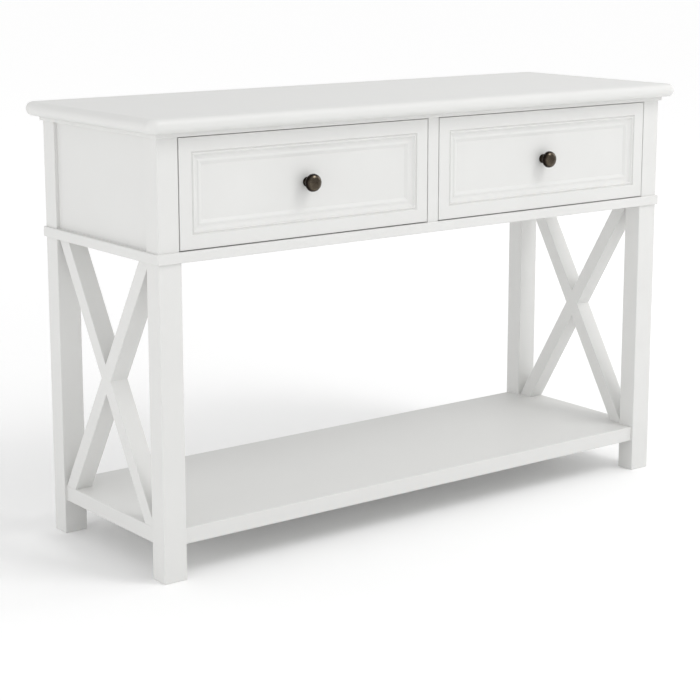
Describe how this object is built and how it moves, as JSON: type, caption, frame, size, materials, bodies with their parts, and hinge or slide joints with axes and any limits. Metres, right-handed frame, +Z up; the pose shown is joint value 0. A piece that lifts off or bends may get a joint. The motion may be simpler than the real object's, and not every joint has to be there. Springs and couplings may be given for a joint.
{
  "type": "console table",
  "caption": "Long narrow console table: two inset moulded drawers under a bullnose top, square legs, crossed end braces and a lower shelf.",
  "frame": {"origin": "on the floor under the middle of the table top", "axes": "+X along the length to the right, +Y to the back, +Z up; the drawers open towards -Y"},
  "size_m": [1.2, 0.43, 0.778],
  "materials": {
    "white_lacquer": "semi-matte white lacquer",
    "drawer_board": "pale coated board",
    "raw_wood": "planed, unfinished",
    "beech": "turned, unfinished",
    "slide_steel": "zinc plated",
    "screw_steel": "zinc plated",
    "knob_bronze": "dark antique bronze"
  },
  "bodies": {
    "frame": {"back_panel": "white_lacquer", "brace_forward_left": "white_lacquer", "brace_forward_right": "white_lacquer", "brace_rearward_left": "white_lacquer", "brace_rearward_right": "white_lacquer", "brace_screws": "screw_steel", "centre_partition": "raw_wood", "centre_stile": "white_lacquer", "leg_bolts": "screw_steel", "leg_dowels": "beech", "leg_front_left": "white_lacquer", "leg_front_right": "white_lacquer", "leg_rear_left": "white_lacquer", "leg_rear_right": "white_lacquer", "partition_screws": "screw_steel", "post_front_left": "white_lacquer", "post_front_right": "white_lacquer", "post_rear_left": "white_lacquer", "post_rear_right": "white_lacquer", "rail_screws": "screw_steel", "runner_rail_left": "raw_wood", "runner_rail_right": "raw_wood", "shelf": "white_lacquer", "shelf_dowels": "beech", "side_panel_left": "white_lacquer", "side_panel_right": "white_lacquer", "slide_cabinet_left": "slide_steel", "slide_cabinet_right": "slide_steel", "slide_cabinet_screws_left": "screw_steel", "slide_cabinet_screws_right": "screw_steel", "sub_top_board": "white_lacquer", "sub_top_screws": "screw_steel", "table_top": "white_lacquer", "top_screws": "screw_steel", "waist_board": "white_lacquer"},
    "drawer_left": {"drawer_back_left": "drawer_board", "drawer_back_screws_left": "screw_steel", "drawer_bottom_left": "drawer_board", "drawer_dowels_left": "beech", "drawer_front_left": "white_lacquer", "drawer_left_side_left": "drawer_board", "drawer_left_side_right": "drawer_board", "knob_left": "knob_bronze", "knob_screw_left": "screw_steel", "slide_drawer_left": "slide_steel", "slide_drawer_screws_left": "screw_steel"},
    "drawer_right": {"drawer_back_right": "drawer_board", "drawer_back_screws_right": "screw_steel", "drawer_bottom_right": "drawer_board", "drawer_dowels_right": "beech", "drawer_front_right": "white_lacquer", "drawer_right_side_left": "drawer_board", "drawer_right_side_right": "drawer_board", "knob_right": "knob_bronze", "knob_screw_right": "screw_steel", "slide_drawer_right": "slide_steel", "slide_drawer_screws_right": "screw_steel"},
    "slide_middle_left": {"slide_middle_left": "slide_steel"},
    "slide_middle_right": {"slide_middle_right": "slide_steel"}
  },
  "joints": [
    {"name": "drawer_left_slide", "type": "slide", "parent": "frame", "child": "drawer_left", "axis": [0, -1, 0], "range_m": [0, 0.28]},
    {"name": "drawer_right_slide", "type": "slide", "parent": "frame", "child": "drawer_right", "axis": [0, -1, 0], "range_m": [0, 0.28]},
    {"name": "slide_middle_left_slide", "type": "slide", "parent": "frame", "child": "slide_middle_left", "axis": [0, -1, 0], "range_m": [0, 0.14]},
    {"name": "slide_middle_right_slide", "type": "slide", "parent": "frame", "child": "slide_middle_right", "axis": [0, -1, 0], "range_m": [0, 0.14]}
  ],
  "couplings": [
    {"joint": "slide_middle_left_slide", "follows": "drawer_left_slide", "ratio": 0.5},
    {"joint": "slide_middle_right_slide", "follows": "drawer_right_slide", "ratio": 0.5}
  ]
}
